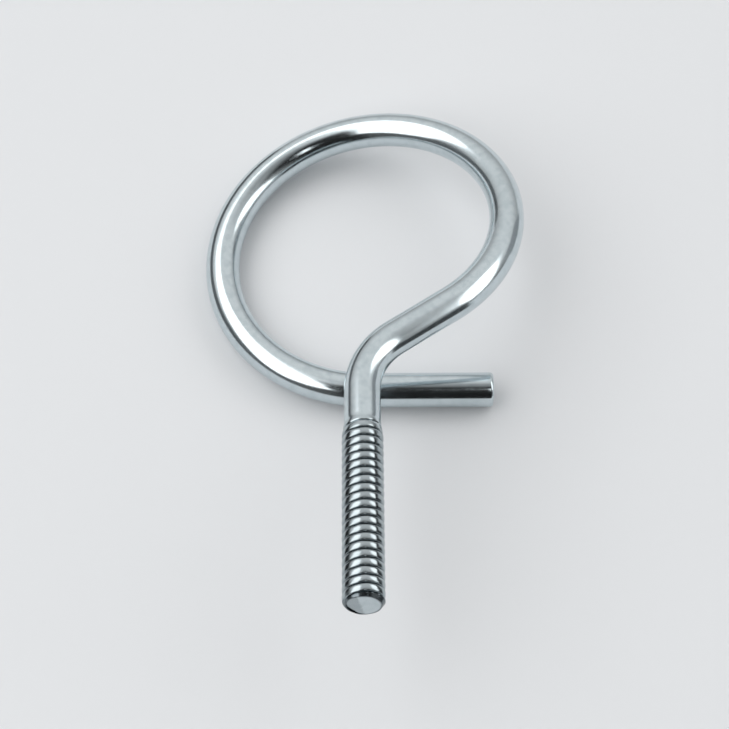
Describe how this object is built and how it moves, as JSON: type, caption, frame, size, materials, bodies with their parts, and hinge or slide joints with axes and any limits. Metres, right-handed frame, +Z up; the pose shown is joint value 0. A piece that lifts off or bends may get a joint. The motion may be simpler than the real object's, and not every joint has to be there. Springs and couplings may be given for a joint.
{
  "type": "bridle ring",
  "caption": "Open ring of round zinc-plated steel wire, coiled on a cranked and threaded shank; cables slip in past its tail and are carried in the loop.",
  "frame": {"origin": "on the shank's axis, at the end of the full thread, where the run-out begins", "axes": "+Z up from the table that the ring rests on, the shank towards -Y and the loop towards +Y"},
  "size_m": [0.0395, 0.0742, 0.0215],
  "materials": {
    "zinc_steel": "bright zinc plate on drawn steel wire"
  },
  "bodies": {
    "root": {"bridle_ring": "zinc_steel"}
  },
  "joints": []
}
